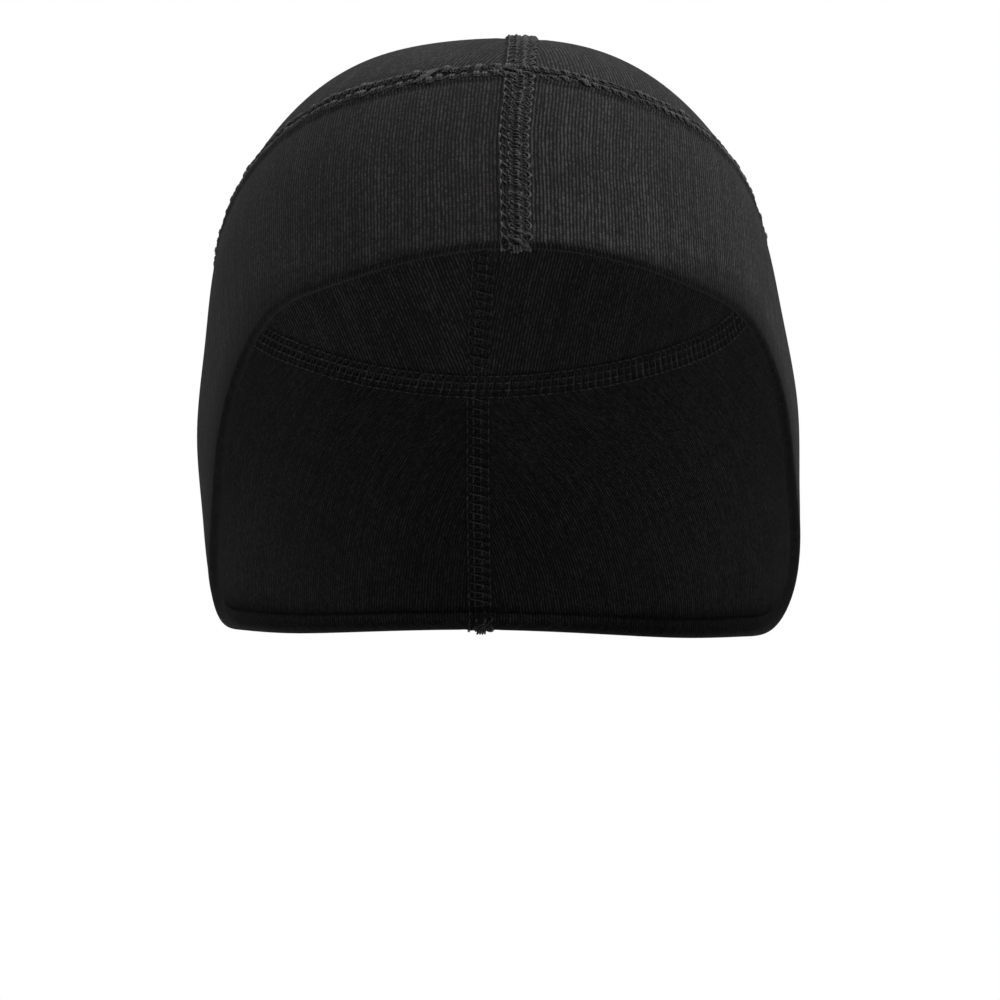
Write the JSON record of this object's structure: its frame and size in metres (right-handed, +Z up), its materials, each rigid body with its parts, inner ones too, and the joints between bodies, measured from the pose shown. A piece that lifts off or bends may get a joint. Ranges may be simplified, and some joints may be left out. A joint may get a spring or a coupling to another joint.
{
  "type": "helmet liner cap",
  "caption": "Close-fitting knit cap worn under a helmet: crown and band panels joined by wide flat seams, open at the face and neck.",
  "frame": {"origin": "inside of the crown, where the top of the head bears", "axes": "+Z up, the face opening towards -Y, +X towards the wearer's left ear"},
  "size_m": [0.147, 0.1924, 0.1457],
  "materials": {
    "crown_knit": "matt black jersey knit",
    "band_knit": "matt black jersey knit, fine upright ribs",
    "seam_thread": "black cover stitch, wide and flat"
  },
  "bodies": {
    "root": {"crown_left": "crown_knit", "crown_right": "crown_knit", "band_left": "band_knit", "band_right": "band_knit", "front_seam": "seam_thread", "crown_seam": "seam_thread", "back_seam": "seam_thread", "ring_seam": "seam_thread"}
  },
  "joints": []
}
